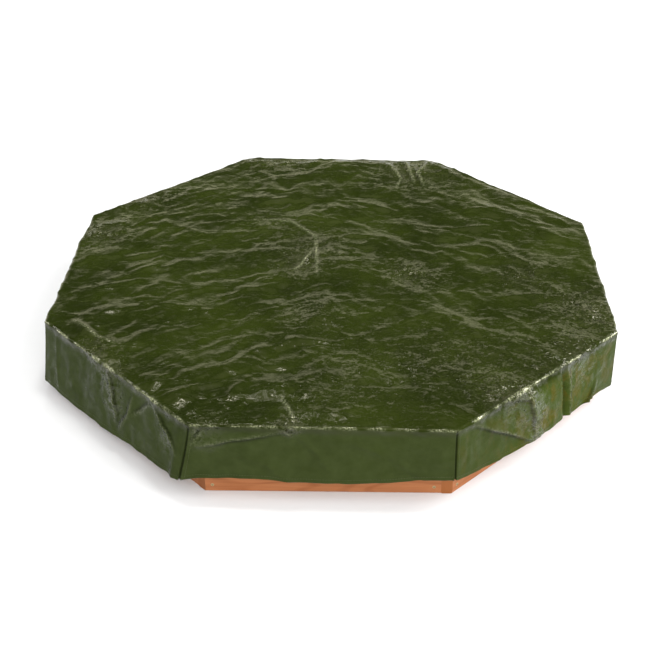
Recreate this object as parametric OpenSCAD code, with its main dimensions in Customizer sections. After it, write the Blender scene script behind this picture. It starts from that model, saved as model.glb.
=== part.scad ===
// Eight-sided timber sandbox with a lift-off tarpaulin cover.
// Origin on the ground at the centre of the octagon, +Z up, side 1 facing -Y.
// Sides and corners are numbered anticlockwise from above; corner k joins side k to the next one.

/* [Timber walls] */
// Width of the timber walls across the flats, outside
frame_w = 1347; // [1000:1:1800]
// Height of one wall plank; each wall is two planks high
plank_h = 92; // [70:1:140]
// Thickness of a wall plank
plank_t = 18; // [15:0.5:24]
// Radius of the eased edges along planks and seat boards
ease_r = 3; // [1:0.5:5]

/* [Seat boards] */
// Width of a seat board
seat_w = 130; // [105:1:165]
// Thickness of a seat board
seat_t = 18; // [15:0.5:24]
// How far the seat boards stand out past the walls
seat_overhang = 21.5; // [8:0.5:30]
// Gap left in each mitre between two seat boards
mitre_gap = 1; // [0.2:0.1:3]

/* [Corner posts] */
// How far a post runs along each wall from the inside corner
post_run = 48; // [40:1:70]
// How far a post stands in from each wall
post_depth = 35; // [30:1:50]

/* [Seat brackets] */
// Width of the bracket under each mitre
bracket_w = 60; // [52:1:66]
// Height of the bracket
bracket_h = 45; // [40:1:65]
// Chamfer on the bracket's lower inside edge
bracket_chamfer = 10; // [2:0.5:12]
// How far the bracket stays behind the seat's inside corner
bracket_setback = 7; // [3:0.5:12]

/* [Screws] */
// Diameter of a screw's shank
screw_d = 4; // [3.5:0.5:5]
// Diameter of a countersunk head
head_d = 8; // [7:0.5:10]
// Length of the screws in walls and seats
screw_len = 40; // [34:1:44]
// Length of a bracket screw that bites in the post
bracket_bite = 20; // [14:1:26]
// Distance of a wall screw from the visible end of its plank
wall_screw_end = 16; // [14:0.5:19]
// Distance of a wall screw from the plank's top or bottom edge
wall_screw_edge = 18; // [14:0.5:24]
// Distance of a seat screw from the mitre's line
seat_screw_side = 14; // [10:0.5:15]
// Distance of a bracket screw from the bracket's middle
bracket_screw_side = 20; // [18:0.5:21]
// Depth of the bracket screws below the wall's top
bracket_screw_drop = 28; // [26:0.5:32]
// Clearance all round a screw in its hole
screw_fit = 0.05; // [0.02:0.01:0.2]

/* [Ground liner] */
// Thickness of the fleece
liner_t = 1.5; // [0.8:0.1:3]
// Height to which the fleece turns up inside each wall
liner_up = 26; // [20:1:40]
// Gap cut round each post
liner_gap = 2; // [1:0.5:6]

/* [Staples] */
// Width of a staple's crown
staple_w = 10; // [8:0.5:14]
// Thickness of the staple wire
staple_wire = 1; // [0.6:0.1:1.4]
// Length of a staple's legs
staple_leg = 8; // [6:0.5:12]
// Distance from one staple to the next along a wall
staple_pitch = 150; // [100:5:165]

/* [Cover] */
// Room between the seat boards' outside edge and the skirt
cover_ease = 4; // [1.5:0.5:12]
// Thickness of the cover's sheet
cover_t = 1; // [0.8:0.1:3]
// Height of the skirt, from the top of the cover to its hem
skirt_drop = 165; // [100:1:185]
// Clearance between the cover and the seat boards it lies on
cover_gap = 0.3; // [0.2:0.1:1]

/* [Hidden] */
SIDES = 8;
SIDE_LIST = [1:SIDES];

turn = 360 / SIDES;
half_turn = turn / 2;

// Walls
wall_out = frame_w / 2;
wall_in = wall_out - plank_t;
wall_h = 2 * plank_h;
wall_corner = wall_out * tan(half_turn);
plank_end_lap = plank_t / sin(turn);
plank_end_slope = 1 / tan(turn);
inside_corner_r = wall_in / cos(half_turn);

// Seat boards
seat_out = wall_out + seat_overhang;
seat_in = seat_out - seat_w;
seat_top = wall_h + seat_t;

// Posts and brackets, measured outwards from the centre along a corner's line
post_in_r = inside_corner_r - post_run * sin(half_turn) - post_depth * cos(half_turn);
post_screw_r = (inside_corner_r + post_in_r) / 2;
bracket_in_r = seat_in / cos(half_turn) + bracket_setback;
bracket_screw_r = (post_in_r + bracket_in_r) / 2;
bracket_screw_len = post_in_r - bracket_in_r + bracket_bite;

// Screws
shank_r = screw_d / 2;
head_r = head_d / 2;
head_cone_h = head_r - shank_r;
tip_h = 1.5 * screw_d;
tip_r = 0.4;
recess_len = 0.56 * head_d;
recess_w = 0.14 * head_d;
recess_depth = 0.9 * head_cone_h;

// Ground liner and staples
strip_half = wall_in * tan(half_turn) - post_run - liner_gap;
staple_z = liner_up - 9;
staple_fit = 0.05;

// Cover
cover_in = seat_out + cover_ease;
cover_out = cover_in + cover_t;
cover_low = seat_top + cover_gap;
cover_high = cover_low + cover_t;

WOOD = [0.67, 0.42, 0.27];
HIDDEN_WOOD = [0.72, 0.52, 0.36];
ZINC = [0.78, 0.70, 0.48];
STEEL = [0.62, 0.63, 0.65];
FLEECE = [0.30, 0.30, 0.31];
TARPAULIN = [0.27, 0.31, 0.17];

CUT = 1;
CURVE_FN = 32;

// Frames: a side faces -Y before it is turned; a corner lies along +X before it is turned.
module side_frame(k) { rotate([0, 0, (k - 1) * turn]) children(); }
module corner_frame(k) { rotate([0, 0, (k - 1) * turn - 90 + half_turn]) children(); }

// Rectangle with round corners, centred.
module eased_section(w, h) {
    square([w - 2 * ease_r, h], center = true);
    square([w, h - 2 * ease_r], center = true);
    for (x = [-1, 1], y = [-1, 1])
        translate([x * (w / 2 - ease_r), y * (h / 2 - ease_r)])
            circle(r = ease_r, $fn = CURVE_FN);
}

// Board along X with eased edges, centred on y and standing on z.
module board(length, y, z, w, h) {
    rotate([90, 0, 90])
        translate([y, z + h / 2, -length / 2])
            linear_extrude(height = length)
                eased_section(w, h);
}

// Countersunk screw, its head's face at z = 0 and its point at z = -length.
module screw(length) {
    difference() {
        rotate_extrude($fn = CURVE_FN)
            polygon([
                [0, 0], [head_r, 0], [shank_r, -head_cone_h],
                [shank_r, -length + tip_h], [tip_r, -length], [0, -length]
            ]);
        for (a = [0, 90])
            rotate([0, 0, a])
                translate([-recess_len / 2, -recess_w / 2, -recess_depth])
                    cube([recess_len, recess_w, recess_depth + CUT]);
    }
}

// Hole for that screw, open above z = 0.
module screw_hole(length) {
    rotate_extrude($fn = CURVE_FN)
        polygon([
            [0, CUT], [head_r + screw_fit, CUT], [head_r + screw_fit, 0],
            [shank_r + screw_fit, -head_cone_h],
            [shank_r + screw_fit, -length - screw_fit], [0, -length - screw_fit]
        ]);
}

// Places of the wall screws at one end of a wall's planks, for one course or both.
module at_wall_screws(left, courses) {
    x = left ? wall_screw_end - wall_corner : wall_corner - plank_end_lap - wall_screw_end;
    for (course = courses, z = [wall_screw_edge, plank_h - wall_screw_edge])
        translate([x, -wall_out, course * plank_h + z])
            rotate([90, 0, 0])
                children();
}

// Places of the two seat screws at a corner, on one side of the mitre.
module at_seat_screws(side) {
    for (r = [post_screw_r, bracket_screw_r])
        translate([r, side * seat_screw_side, seat_top])
            children();
}

// Places of the two bracket screws at a corner.
module at_bracket_screws() {
    for (s = [-1, 1])
        translate([bracket_in_r, s * bracket_screw_side, wall_h - bracket_screw_drop])
            rotate([0, -90, 0])
                children();
}

// Places of the staples on a wall, the wall's inside face at z = 0 and the pit above it.
module at_staples() {
    for (i = [-1, 0, 1])
        translate([i * staple_pitch, -wall_in, staple_z])
            rotate([-90, 0, 0])
                children();
}

// Staple over the fleece, grown by its fit when it cuts its own slot.
module staple(grow) {
    wire = staple_wire + 2 * grow;
    for (s = [-1, 1])
        translate([s * (staple_w - staple_wire) / 2 - wire / 2, -wire / 2, liner_t - staple_leg - grow])
            cube([wire, wire, staple_leg + grow]);
    translate([-staple_w / 2 - grow, -wire / 2, liner_t])
        cube([staple_w + 2 * grow, wire, wire]);
}

// Plan of a wall plank: the left end comes through to the neighbour's outside face,
// and the right end stops against the inside face of the next wall.
module plank_plan() {
    near = -wall_out - CUT;
    far = -wall_in + CUT;
    function left_x(y) = -wall_corner - (y + wall_out) * plank_end_slope;
    function right_x(y) = wall_corner - plank_end_lap + (y + wall_out) * plank_end_slope;
    polygon([[left_x(near), near], [right_x(near), near], [right_x(far), far], [left_x(far), far]]);
}

module wall_plank(k, course) {
    color(WOOD)
        side_frame(k)
            difference() {
                intersection() {
                    board(2 * frame_w, plank_t / 2 - wall_out, course * plank_h, plank_t, plank_h);
                    translate([0, 0, course * plank_h - CUT])
                        linear_extrude(height = plank_h + 2 * CUT)
                            plank_plan();
                }
                for (left = [false, true])
                    at_wall_screws(left, [course])
                        screw_hole(screw_len);
                if (course == 0)
                    at_staples()
                        staple(staple_fit);
            }
}

module plank_lower(k) { wall_plank(k, 0); }
module plank_upper(k) { wall_plank(k, 1); }

// Plan of a post in its corner's frame, with its point in the inside corner.
module post_plan(grow) {
    run = post_run + grow;
    depth = post_depth + grow;
    wall_x = inside_corner_r - run * sin(half_turn);
    wall_y = run * cos(half_turn);
    polygon([
        [inside_corner_r, 0],
        [wall_x, wall_y],
        [wall_x - depth * cos(half_turn), wall_y - depth * sin(half_turn)],
        [wall_x - depth * cos(half_turn), -wall_y + depth * sin(half_turn)],
        [wall_x, -wall_y]
    ]);
}

module corner_post(k) {
    color(HIDDEN_WOOD)
        difference() {
            corner_frame(k)
                linear_extrude(height = wall_h)
                    post_plan(0);
            side_frame(k)
                at_wall_screws(false, [0, 1])
                    screw_hole(screw_len);
            side_frame(k + 1)
                at_wall_screws(true, [0, 1])
                    screw_hole(screw_len);
            corner_frame(k) {
                for (s = [-1, 1])
                    at_seat_screws(s)
                        screw_hole(screw_len);
                at_bracket_screws()
                    screw_hole(bracket_screw_len);
            }
        }
}

module seat_bracket(k) {
    low = wall_h - bracket_h;
    color(HIDDEN_WOOD)
        corner_frame(k)
            difference() {
                rotate([90, 0, 0])
                    translate([0, 0, -bracket_w / 2])
                        linear_extrude(height = bracket_w)
                            polygon([
                                [post_in_r, wall_h], [bracket_in_r, wall_h],
                                [bracket_in_r, low + bracket_chamfer],
                                [bracket_in_r + bracket_chamfer, low], [post_in_r, low]
                            ]);
                for (s = [-1, 1])
                    at_seat_screws(s)
                        screw_hole(screw_len);
                at_bracket_screws()
                    screw_hole(bracket_screw_len);
            }
}

// Seat board, mitred at both ends.
module seat_board(k) {
    near = -seat_out - CUT;
    far = -seat_in + CUT;
    function half_x(y) = -y * tan(half_turn) - mitre_gap / 2 / cos(half_turn);
    color(WOOD)
        difference() {
            side_frame(k)
                intersection() {
                    board(2 * frame_w, (-seat_out - seat_in) / 2, wall_h, seat_w, seat_t);
                    translate([0, 0, wall_h - CUT])
                        linear_extrude(height = seat_t + 2 * CUT)
                            polygon([
                                [-half_x(near), near], [half_x(near), near],
                                [half_x(far), far], [-half_x(far), far]
                            ]);
                }
            corner_frame(k)
                at_seat_screws(-1)
                    screw_hole(screw_len);
            corner_frame(k - 1)
                at_seat_screws(1)
                    screw_hole(screw_len);
        }
}

module wall_screws() {
    color(ZINC)
        for (k = SIDE_LIST, left = [false, true])
            side_frame(k)
                at_wall_screws(left, [0, 1])
                    screw(screw_len);
}

module bracket_screws() {
    color(ZINC)
        for (k = SIDE_LIST)
            corner_frame(k)
                at_bracket_screws()
                    screw(bracket_screw_len);
}

module seat_screws() {
    color(ZINC)
        for (k = SIDE_LIST, s = [-1, 1])
            corner_frame(k)
                at_seat_screws(s)
                    screw(screw_len);
}

// Fleece on the ground, cut round the posts and turned up along each wall between them.
module ground_liner() {
    color(FLEECE)
        difference() {
            union() {
                linear_extrude(height = liner_t)
                    rotate([0, 0, half_turn])
                        circle(r = inside_corner_r, $fn = SIDES);
                for (k = SIDE_LIST)
                    side_frame(k)
                        translate([-strip_half, -wall_in, 0])
                            cube([2 * strip_half, liner_t, liner_up]);
            }
            for (k = SIDE_LIST) {
                corner_frame(k)
                    translate([0, 0, -CUT])
                        linear_extrude(height = liner_t + 2 * CUT)
                            post_plan(liner_gap);
                side_frame(k)
                    at_staples()
                        staple(staple_fit);
            }
        }
}

module liner_staples() {
    color(STEEL)
        for (k = SIDE_LIST)
            side_frame(k)
                at_staples()
                    staple(0);
}

module cover_top() {
    color(TARPAULIN)
        translate([0, 0, cover_low])
            linear_extrude(height = cover_t)
                rotate([0, 0, half_turn])
                    circle(r = cover_out / cos(half_turn), $fn = SIDES);
}

// One wall of the cover, hanging from the edge of its top.
module cover_skirt(k) {
    outer = cover_out * tan(half_turn);
    inner = cover_in * tan(half_turn);
    color(TARPAULIN)
        side_frame(k)
            translate([0, 0, cover_high - skirt_drop])
                linear_extrude(height = skirt_drop - cover_t)
                    polygon([
                        [-outer, -cover_out], [outer, -cover_out],
                        [inner, -cover_in], [-inner, -cover_in]
                    ]);
}

for (k = SIDE_LIST) {
    plank_lower(k);
    plank_upper(k);
    corner_post(k);
    seat_bracket(k);
    seat_board(k);
    cover_skirt(k);
}
wall_screws();
bracket_screws();
seat_screws();
ground_liner();
liner_staples();
cover_top();
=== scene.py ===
"""Looks for the eight-sided sandbox with its tarpaulin cover.

The timber, posts, brackets, screws and staples are the CAD model's own meshes with procedural materials.
The cover and the ground liner are sheets made here. Everything is in metres, +Z up. Side 0 of the octagon
faces -Y, and sides run anticlockwise seen from above.
"""

from math import cos, pi, radians, sin, tan

import bpy
import numpy as np
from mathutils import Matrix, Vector


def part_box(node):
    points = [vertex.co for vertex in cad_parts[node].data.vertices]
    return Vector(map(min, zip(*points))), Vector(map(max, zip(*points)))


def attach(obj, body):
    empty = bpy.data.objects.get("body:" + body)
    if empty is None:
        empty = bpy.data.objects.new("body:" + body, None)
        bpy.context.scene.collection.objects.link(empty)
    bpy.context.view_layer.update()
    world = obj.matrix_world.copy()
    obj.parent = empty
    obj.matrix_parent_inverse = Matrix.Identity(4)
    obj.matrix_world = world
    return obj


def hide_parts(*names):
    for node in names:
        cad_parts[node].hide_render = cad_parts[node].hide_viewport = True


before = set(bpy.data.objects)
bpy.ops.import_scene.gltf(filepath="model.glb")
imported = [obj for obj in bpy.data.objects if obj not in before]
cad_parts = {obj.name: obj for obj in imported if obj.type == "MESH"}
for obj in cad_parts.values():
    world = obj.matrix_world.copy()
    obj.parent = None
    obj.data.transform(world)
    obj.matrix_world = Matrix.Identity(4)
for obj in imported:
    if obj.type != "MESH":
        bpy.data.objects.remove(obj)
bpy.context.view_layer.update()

# ---- sizes from the frame

MM = 0.001
PER_M = 1000  # mm in a metre
SIDES = 8
TURN = 2 * pi / SIDES
HALF = TURN / 2
TAN_HALF = tan(HALF)


def span(node):
    low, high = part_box(node)
    return np.array(low), np.array(high)


cover_top_high = span("cover_top")[1]
cover_apothem = cover_top_high[0]
seat_top = span("seat_board_1")[1][2]
seat_in = -span("seat_board_1")[1][1]
wall_in = -span("plank_lower_1")[1][1]
liner_high = span("ground_liner")[1][2]


def side_axes(side):
    """Outward normal and anticlockwise tangent of a side, in plan."""
    a = -pi / 2 + side * TURN
    return np.array([cos(a), sin(a)]), np.array([-sin(a), cos(a)])


# ---- noise and folds

NOISE_CELLS = 256  # cells each way before the noise repeats
NARROWEST = 5.5 * MM  # half width of a fold, so that the mesh still shows it
CREST_W, FOOT_W = 3.5 * MM, 4 * MM  # half widths of the crest's whitening and painted highlight and of the painted shade at the fold's foot


def smooth(x, low, high):
    t = np.clip((x - low) / (high - low), 0, 1)
    return t * t * (3 - 2 * t)


def bell(x, width):
    return np.exp(-((x / width) ** 2))


class Noise:
    """Gradient noise on the plane, about -1 to 1. It repeats every `period` cells in x."""

    def __init__(self, seed, period=NOISE_CELLS):
        angle = np.random.default_rng(seed).uniform(0, 2 * pi, (NOISE_CELLS, NOISE_CELLS))
        self.gx, self.gy, self.period = np.cos(angle), np.sin(angle), period

    def corner(self, ix, iy, fx, fy):
        i, j = ix % self.period, iy % NOISE_CELLS
        return self.gx[i, j] * fx + self.gy[i, j] * fy

    def __call__(self, x, y):
        ix, iy = np.floor(x).astype(int), np.floor(y).astype(int)
        fx, fy = x - ix, y - iy
        u, v = (f * f * f * (f * (f * 6 - 15) + 10) for f in (fx, fy))
        low, high = (
            self.corner(ix, iy + k, fx, fy - k) * (1 - u) + self.corner(ix + 1, iy + k, fx - 1, fy - k) * u
            for k in (0, 1)
        )
        return 1.5 * (low * (1 - v) + high * v)


def ridged(noise, x, y):
    """Noise turned into narrow ridges between wide hollows, 0 to 1."""
    return (1 - np.minimum(np.abs(noise(x, y)) * 1.6, 1)) ** 2


def facets(seed, x, y):
    """Random heights joined by flat triangles, -1 to 1: the planes and sharp creases of a crumpled sheet."""
    size = NOISE_CELLS
    rng = np.random.default_rng(seed)
    heights, flip = rng.uniform(-1, 1, (size, size)), rng.random((size, size)) < 0.5
    ix, iy = np.floor(x).astype(int), np.floor(y).astype(int)
    fx, fy = x - ix, y - iy
    i, j, k, m = ix % size, iy % size, (ix + 1) % size, (iy + 1) % size
    a, b, c, d = heights[i, j], heights[k, j], heights[k, m], heights[i, m]
    rising = np.where(fx > fy, a + (b - a) * fx + (c - b) * fy, a + (d - a) * fy + (c - d) * fx)
    near_a, near_c = a + (b - a) * fx + (d - a) * fy, c + (d - c) * (1 - fx) + (b - c) * (1 - fy)
    falling = np.where(fx + fy < 1, near_a, near_c)
    return np.where(flip[i, j], rising, falling)


def turned(x, y, degrees):
    c, s = cos(radians(degrees)), sin(radians(degrees))
    return c * x + s * y, c * y - s * x


def line_distance(p, a, b):
    """Signed distance from each point to segment ab, positive on its left, and the share of the way along."""
    ab = b - a
    length = max(np.hypot(*ab), 1e-9)
    along = np.clip(((p - a) @ ab) / length**2, 0, 1)
    away = p - a - along[:, None] * ab
    side = np.sign(ab[0] * (p[:, 1] - a[1]) - ab[1] * (p[:, 0] - a[0]))
    return side * np.hypot(away[:, 0], away[:, 1]), along


def nearest(p, points, reach):
    """The points within about `reach` of a polyline, their signed distance and their share of the way."""
    points = np.array(points, float)
    near = np.flatnonzero(((p > points.min(0) - reach) & (p < points.max(0) + reach)).all(1))
    q = p[near]
    lengths = np.hypot(*(points[1:] - points[:-1]).T)
    total, start = lengths.sum(), 0.0
    best = np.full(len(q), np.inf)
    signed, where = np.zeros(len(q)), np.zeros(len(q))
    for a, b, length in zip(points[:-1], points[1:], lengths):
        d, along = line_distance(q, a, b)
        closer = np.abs(d) < best
        best = np.where(closer, np.abs(d), best)
        signed = np.where(closer, d, signed)
        where = np.where(closer, (start + along * length) / total, where)
        start += length
    return near, signed, where


def fold(p, points, height, left, right, taper=0.35):
    """A fold's height, its crest and the foot of its steep side; it fades over `left` and `right`."""
    left, right = max(left, NARROWEST), max(right, NARROWEST)
    near, signed, where = nearest(p, points, 5 * max(left, right))
    width = np.where(signed > 0, left, right)
    fade = np.clip(np.minimum(where, 1 - where) / taper, 0, 1) ** 0.7
    out, crest, foot = np.zeros((3, len(p)))
    out[near] = height * fade * np.exp(-np.abs(signed) / width)
    crest[near] = fade * bell(signed, CREST_W)
    steep = -1 if left > right else 1
    foot[near] = fade * bell(signed - steep * NARROWEST, FOOT_W)
    return out, crest, foot


# ---- mesh helpers


def new_object(name, data):
    made = bpy.data.objects.new(name, data)
    bpy.context.scene.collection.objects.link(made)
    return made


def new_mesh(name, verts, faces, material, smooth_shading=True):
    mesh = bpy.data.meshes.new(name)
    mesh.from_pydata([tuple(v) for v in verts], [], faces)
    mesh.validate()
    mesh.polygons.foreach_set("use_smooth", [smooth_shading] * len(mesh.polygons))
    mesh.materials.append(material)
    mesh.update()
    return new_object(name, mesh)


def strip(a, b):
    """Faces between two columns of vertices."""
    return [(a[r], a[r + 1], b[r + 1], b[r]) for r in range(len(a) - 1)]


def set_uv(mesh, name, uv):
    layer = mesh.uv_layers.new(name=name)
    loops = np.empty(len(mesh.loops), int)
    mesh.loops.foreach_get("vertex_index", loops)
    layer.data.foreach_set("uv", uv[loops].astype(np.float32).ravel())


# ---- materials


class Nodes:
    """A node tree, built by short calls."""

    def __init__(self, tree):
        self.tree = tree

    def add(self, kind, inputs=(), **settings):
        node = self.tree.nodes.new(kind)
        for key, value in settings.items():
            setattr(node, key, value)
        for key, value in dict(inputs).items():
            self.put(node, key, value)
        return node

    def put(self, node, key, value):
        if isinstance(value, bpy.types.NodeSocket):
            self.tree.links.new(value, node.inputs[key])
        else:
            node.inputs[key].default_value = value

    def noise(self, vector, scale, detail=3, roughness=0.5, distortion=0.0):
        inputs = {"Vector": vector, "Scale": scale, "Detail": detail, "Roughness": roughness}
        inputs["Distortion"] = distortion
        return self.add("ShaderNodeTexNoise", inputs).outputs["Fac"]

    def math(self, operation, a, b=0.0, clamp=False):
        return self.add("ShaderNodeMath", {0: a, 1: b}, operation=operation, use_clamp=clamp).outputs[0]

    def times(self, a, b, clamp=False):
        return self.math("MULTIPLY", a, b, clamp)

    def plus(self, a, b, clamp=False):
        return self.math("ADD", a, b, clamp)

    def attribute(self, name):
        return self.add("ShaderNodeAttribute", attribute_name=name).outputs["Fac"]

    def spread(self, value, low, high, to_low=0.0, to_high=1.0):
        inputs = {"Value": value, "From Min": low, "From Max": high, "To Min": to_low, "To Max": to_high}
        return self.add("ShaderNodeMapRange", inputs, clamp=True).outputs["Result"]

    def mix(self, factor, a, b, blend="MIX"):
        inputs = {0: factor, 6: a, 7: b}
        return self.add("ShaderNodeMix", inputs, data_type="RGBA", blend_type=blend).outputs[2]

    def mapping(self, vector, scale=(1, 1, 1), rotation=(0, 0, 0)):
        inputs = {"Vector": vector, "Scale": scale, "Rotation": rotation}
        return self.add("ShaderNodeMapping", inputs).outputs[0]

    def bump(self, height, distance, strength, under=None):
        inputs = {"Height": height, "Distance": distance, "Strength": strength}
        if under is not None:
            inputs["Normal"] = under
        return self.add("ShaderNodeBump", inputs).outputs[0]

    def place(self):
        return self.add("ShaderNodeTexCoord").outputs["Object"]

    def axes(self, vector):
        return self.add("ShaderNodeSeparateXYZ", {0: vector}).outputs

    def vector(self, operation, a, b=None, scale=None):
        inputs = {key: value for key, value in ((0, a), (1, b), ("Scale", scale)) if value is not None}
        return self.add("ShaderNodeVectorMath", inputs, operation=operation).outputs["Vector"]

    def shards(self, vector, scale, tilt, normal):
        """Tips the normal by up to `tilt` in each small cell, as the flat facets of a crumpled sheet do."""
        color = self.add("ShaderNodeTexVoronoi", {"Vector": vector, "Scale": scale}).outputs["Color"]
        tip = self.vector("SCALE", self.vector("SUBTRACT", color, (0.5, 0.5, 0.5)), scale=tilt)
        return self.vector("NORMALIZE", self.vector("ADD", normal, tip))

    def ramp(self, value, stops):
        """Grey levels at given positions of a value."""
        node = self.add("ShaderNodeValToRGB", {0: value})
        elements = node.color_ramp.elements
        elements[0].position, elements[1].position = stops[0][0], stops[-1][0]
        for position, _ in stops[1:-1]:
            elements.new(position)
        for element, (_, level) in zip(elements, stops):
            element.color = (level, level, level, 1)
        return node.outputs[0]


class Look(Nodes):
    """A material and its shader's nodes."""

    def __init__(self, name):
        self.material = bpy.data.materials.new(name)
        self.material.use_nodes = True
        super().__init__(self.material.node_tree)
        self.shader = self.tree.nodes["Principled BSDF"]

    def set(self, **values):
        for key, value in values.items():
            self.put(self.shader, key.replace("_", " "), value)


def srgb(r, g, b):
    """Linear colour from 0-255 display values."""
    linear = (c / 255 / 12.92 if c <= 10 else ((c / 255 + 0.055) / 1.055) ** 2.4 for c in (r, g, b))
    return (*linear, 1.0)


def timber(name, angle, colours, gloss, vertical=False):
    """Softwood whose grain runs along a level board at `angle`, or upright, with rings on the cut ends."""
    light, dark, end = colours
    n = Look(name)
    turn = (0, pi / 2, 0) if vertical else (0, 0, -angle)
    local = n.mapping(n.place(), rotation=turn)
    _, y, z = n.axes(local)
    # Rings round a pith that lies off the board and wanders along it.
    wander = n.noise(n.mapping(local, scale=(1.4, 5, 5)), 1.6, 2)
    dy = n.plus(n.math("FRACT", n.times(y, 3.1)), n.times(wander, 0.10))
    dz = n.plus(n.times(z, 1.6), n.times(wander, 0.16))
    radius = n.math("SQRT", n.plus(n.math("POWER", dy, 2.0), n.math("POWER", dz, 2.0)))
    late = n.spread(n.math("SINE", n.times(radius, 620.0)), 0.1, 1.0)
    streak = n.noise(n.mapping(local, scale=(0.5, 22, 22)), 14, 4, 0.6)
    fibre = n.noise(n.mapping(local, scale=(3, 190, 190)), 5, 3, 0.65)
    patch = n.noise(n.mapping(local, scale=(1.0, 3, 3)), 2.3, 2)
    grain = n.plus(n.times(late, 0.42), n.spread(streak, 0.35, 0.7, 0.0, 0.55), True)
    face = n.mix(grain, light, dark)
    face = n.mix(n.spread(patch, 0.42, 0.68, 0.0, 0.35), face, dark)
    face = n.mix(n.spread(fibre, 0.45, 0.75, 0.0, 0.22), face, end)
    # A few knots, as dark brown ovals.
    cells = n.add("ShaderNodeTexVoronoi", {"Vector": n.mapping(local, scale=(2.1, 6, 6)), "Scale": 1.0})
    knot = n.spread(cells.outputs["Distance"], 0.035, 0.06, 1.0, 0.0)
    face = n.mix(n.times(knot, 0.75), face, srgb(92, 50, 28))
    # Cut ends show the rings themselves.
    normal = n.add("ShaderNodeNewGeometry").outputs["Normal"]
    across = n.math("ABSOLUTE", n.axes(n.mapping(normal, rotation=turn))[0])
    end_face = n.mix(n.times(late, 0.5), end, dark)
    n.set(Base_Color=n.mix(n.spread(across, 0.5, 0.6), face, end_face), IOR=1.5, Specular_IOR_Level=0.32)
    n.set(Roughness=n.spread(grain, 0.0, 1.0, gloss, gloss + 0.16))
    height = n.plus(n.times(late, 0.35), n.times(fibre, 0.65))
    n.set(Normal=n.bump(height, 0.35 * MM, 0.7))
    return n.material


def metal(name, colour, tarnish, roughness):
    n = Look(name)
    place = n.place()
    stain = n.noise(place, 420, 3)
    scratches = n.noise(n.mapping(place, scale=(1, 1, 5)), 1500, 2)
    n.set(Base_Color=n.mix(n.spread(stain, 0.4, 0.7, 0.0, 0.6), colour, tarnish), Metallic=1.0)
    n.set(Roughness=n.spread(scratches, 0.3, 0.7, roughness - 0.08, roughness + 0.14))
    n.set(Normal=n.bump(scratches, 0.05 * MM, 0.5))
    return n.material


TAPE_W = 2.6 * MM  # width of the tarpaulin's woven tapes
WAVE_SCALE = pi / 20  # a wave texture of this scale over `w` makes bands `w` wide


def fleece_material():
    """Needled non-woven fleece: grey fibres with lighter and darker specks."""
    n = Look("fleece")
    place = n.place()
    fibres = n.noise(n.mapping(place, scale=(1, 4, 1)), 420, 5, 0.7, 1.5)
    crossing = n.noise(n.mapping(place, scale=(4, 1, 1)), 380, 5, 0.7, 1.5)
    weave = n.plus(n.times(fibres, 0.5), n.times(crossing, 0.5))
    n.set(Base_Color=n.mix(n.spread(weave, 0.35, 0.65), srgb(58, 60, 62), srgb(104, 106, 108)))
    n.set(Roughness=0.95, Specular_IOR_Level=0.1)
    n.set(Normal=n.bump(weave, 0.6 * MM, 0.9))
    return n.material


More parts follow.
